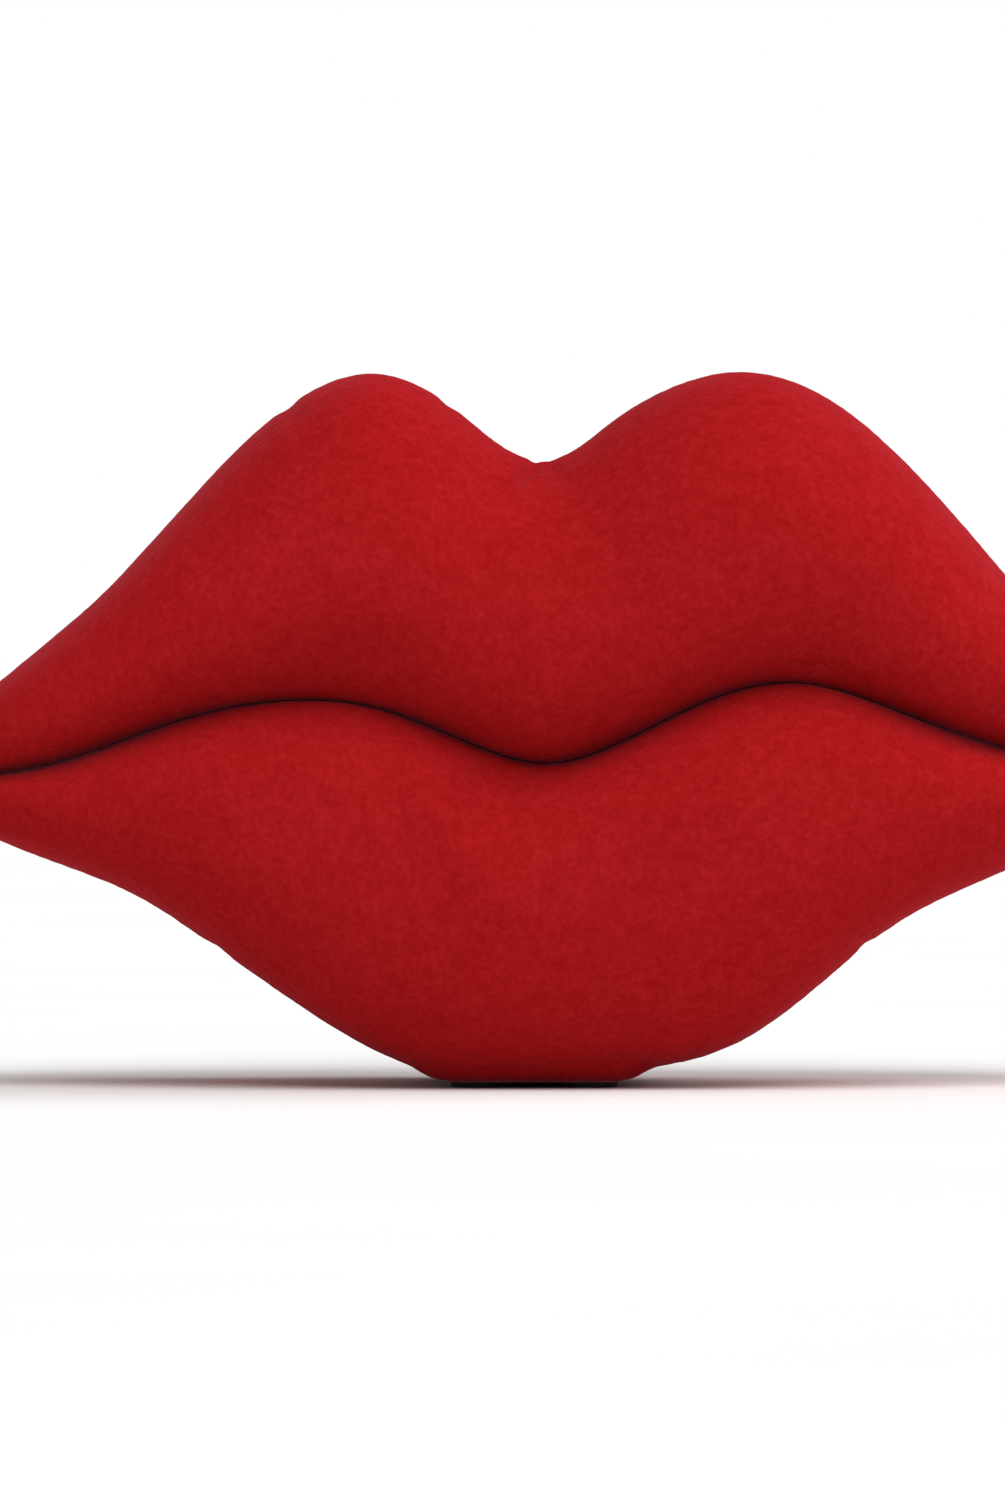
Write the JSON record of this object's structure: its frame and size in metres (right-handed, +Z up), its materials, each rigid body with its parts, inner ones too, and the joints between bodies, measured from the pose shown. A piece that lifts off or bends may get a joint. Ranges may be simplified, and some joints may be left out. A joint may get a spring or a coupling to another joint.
{
  "type": "novelty telephone",
  "caption": "Telephone shaped as closed red lips in soft napped fabric: the upper lip is the lift-off handset, with keypad, earpiece and microphone below, and the lower lip is the base.",
  "frame": {"origin": "on the surface it stands on, under the middle of its bounding box", "axes": "+X across the mouth, to the right as seen from the front; the front faces -Y; +Z up"},
  "size_m": [0.231, 0.096, 0.1293],
  "materials": {
    "lip_fabric": "short soft nap, matte, with a pale sheen where it is seen edge on",
    "foam": "open-cell foam",
    "red_plastic": "moulded, satin",
    "white_plastic": "moulded, gloss",
    "black_plastic": "moulded, fine spark texture",
    "dark_rubber": "moulded, matte",
    "felt": "pressed felt",
    "bright_metal": "drawn, satin",
    "circuit_board": "green solder mask",
    "screw_steel": "zinc plated",
    "iron": "painted, dull"
  },
  "bodies": {
    "base": {"lower_lip_cover": "lip_fabric", "lower_lip_foam": "foam", "base_tub": "red_plastic", "base_floor": "red_plastic", "rubber_feet": "dark_rubber", "floor_screws": "screw_steel", "ballast_weight": "iron", "base_seat": "red_plastic", "seat_pads": "felt", "hook_bracket": "bright_metal", "hook_bracket_screws": "screw_steel", "hook_spring": "screw_steel", "main_board": "circuit_board", "main_board_screws": "screw_steel", "hook_switch": "black_plastic", "line_transformer": "iron", "capacitors": "black_plastic", "speech_chip": "black_plastic", "rear_panel": "red_plastic", "rear_panel_screws": "screw_steel", "line_jack": "black_plastic", "cord_jack": "black_plastic", "ringer_switch": "black_plastic", "ringer": "black_plastic"},
    "handset": {"upper_lip_cover": "lip_fabric", "upper_lip_foam": "foam", "handset_shell": "red_plastic", "handset_underside_panel": "red_plastic", "receiver_gasket": "felt", "receiver_capsule": "bright_metal", "microphone_boot": "dark_rubber", "microphone_capsule": "bright_metal", "keypad_mat": "dark_rubber", "keypad_board": "circuit_board", "dialling_chip": "black_plastic", "keypad_board_screws": "screw_steel", "handset_screws": "screw_steel", "volume_control": "black_plastic", "handset_jack": "black_plastic"},
    "hook": {"hook_plunger": "white_plastic"},
    "volume_knob": {"volume_slider": "black_plastic"},
    "ringer_knob": {"ringer_switch_knob": "black_plastic"},
    "key_1": {"key_1": "white_plastic"},
    "key_2": {"key_2": "white_plastic"},
    "key_3": {"key_3": "white_plastic"},
    "key_4": {"key_4": "white_plastic"},
    "key_5": {"key_5": "white_plastic"},
    "key_6": {"key_6": "white_plastic"},
    "key_7": {"key_7": "white_plastic"},
    "key_8": {"key_8": "white_plastic"},
    "key_9": {"key_9": "white_plastic"},
    "key_star": {"key_star": "white_plastic"},
    "key_0": {"key_0": "white_plastic"},
    "key_hash": {"key_hash": "white_plastic"}
  },
  "joints": [
    {"name": "handset_lift", "type": "slide", "parent": "base", "child": "handset", "axis": [0, 0, 1], "range_m": [0, 0.12]},
    {"name": "hook_rise", "type": "slide", "parent": "base", "child": "hook", "axis": [0, 0, 1], "range_m": [0, 0.004], "deforming": ["hook_spring"]},
    {"name": "volume_slide", "type": "slide", "parent": "handset", "child": "volume_knob", "axis": [0, 1, 0], "range_m": [-0.004, 0.004]},
    {"name": "ringer_slide", "type": "slide", "parent": "base", "child": "ringer_knob", "axis": [1, 0, 0], "range_m": [0, 0.004]},
    {"name": "key_1_press", "type": "slide", "parent": "handset", "child": "key_1", "axis": [0, 0, 1], "range_m": [0, 0.0012], "stiffness_N_per_m": 250, "springref_m": -0.002},
    {"name": "key_2_press", "type": "slide", "parent": "handset", "child": "key_2", "axis": [0, 0, 1], "range_m": [0, 0.0012], "stiffness_N_per_m": 250, "springref_m": -0.002},
    {"name": "key_3_press", "type": "slide", "parent": "handset", "child": "key_3", "axis": [0, 0, 1], "range_m": [0, 0.0012], "stiffness_N_per_m": 250, "springref_m": -0.002},
    {"name": "key_4_press", "type": "slide", "parent": "handset", "child": "key_4", "axis": [0, 0, 1], "range_m": [0, 0.0012], "stiffness_N_per_m": 250, "springref_m": -0.002},
    {"name": "key_5_press", "type": "slide", "parent": "handset", "child": "key_5", "axis": [0, 0, 1], "range_m": [0, 0.0012], "stiffness_N_per_m": 250, "springref_m": -0.002, "deforming": ["keypad_mat"]},
    {"name": "key_6_press", "type": "slide", "parent": "handset", "child": "key_6", "axis": [0, 0, 1], "range_m": [0, 0.0012], "stiffness_N_per_m": 250, "springref_m": -0.002},
    {"name": "key_7_press", "type": "slide", "parent": "handset", "child": "key_7", "axis": [0, 0, 1], "range_m": [0, 0.0012], "stiffness_N_per_m": 250, "springref_m": -0.002},
    {"name": "key_8_press", "type": "slide", "parent": "handset", "child": "key_8", "axis": [0, 0, 1], "range_m": [0, 0.0012], "stiffness_N_per_m": 250, "springref_m": -0.002},
    {"name": "key_9_press", "type": "slide", "parent": "handset", "child": "key_9", "axis": [0, 0, 1], "range_m": [0, 0.0012], "stiffness_N_per_m": 250, "springref_m": -0.002},
    {"name": "key_star_press", "type": "slide", "parent": "handset", "child": "key_star", "axis": [0, 0, 1], "range_m": [0, 0.0012], "stiffness_N_per_m": 250, "springref_m": -0.002},
    {"name": "key_0_press", "type": "slide", "parent": "handset", "child": "key_0", "axis": [0, 0, 1], "range_m": [0, 0.0012], "stiffness_N_per_m": 250, "springref_m": -0.002},
    {"name": "key_hash_press", "type": "slide", "parent": "handset", "child": "key_hash", "axis": [0, 0, 1], "range_m": [0, 0.0012], "stiffness_N_per_m": 250, "springref_m": -0.002}
  ],
  "couplings": [
    {"joint": "hook_rise", "follows": "handset_lift", "ratio": 0.0333}
  ]
}
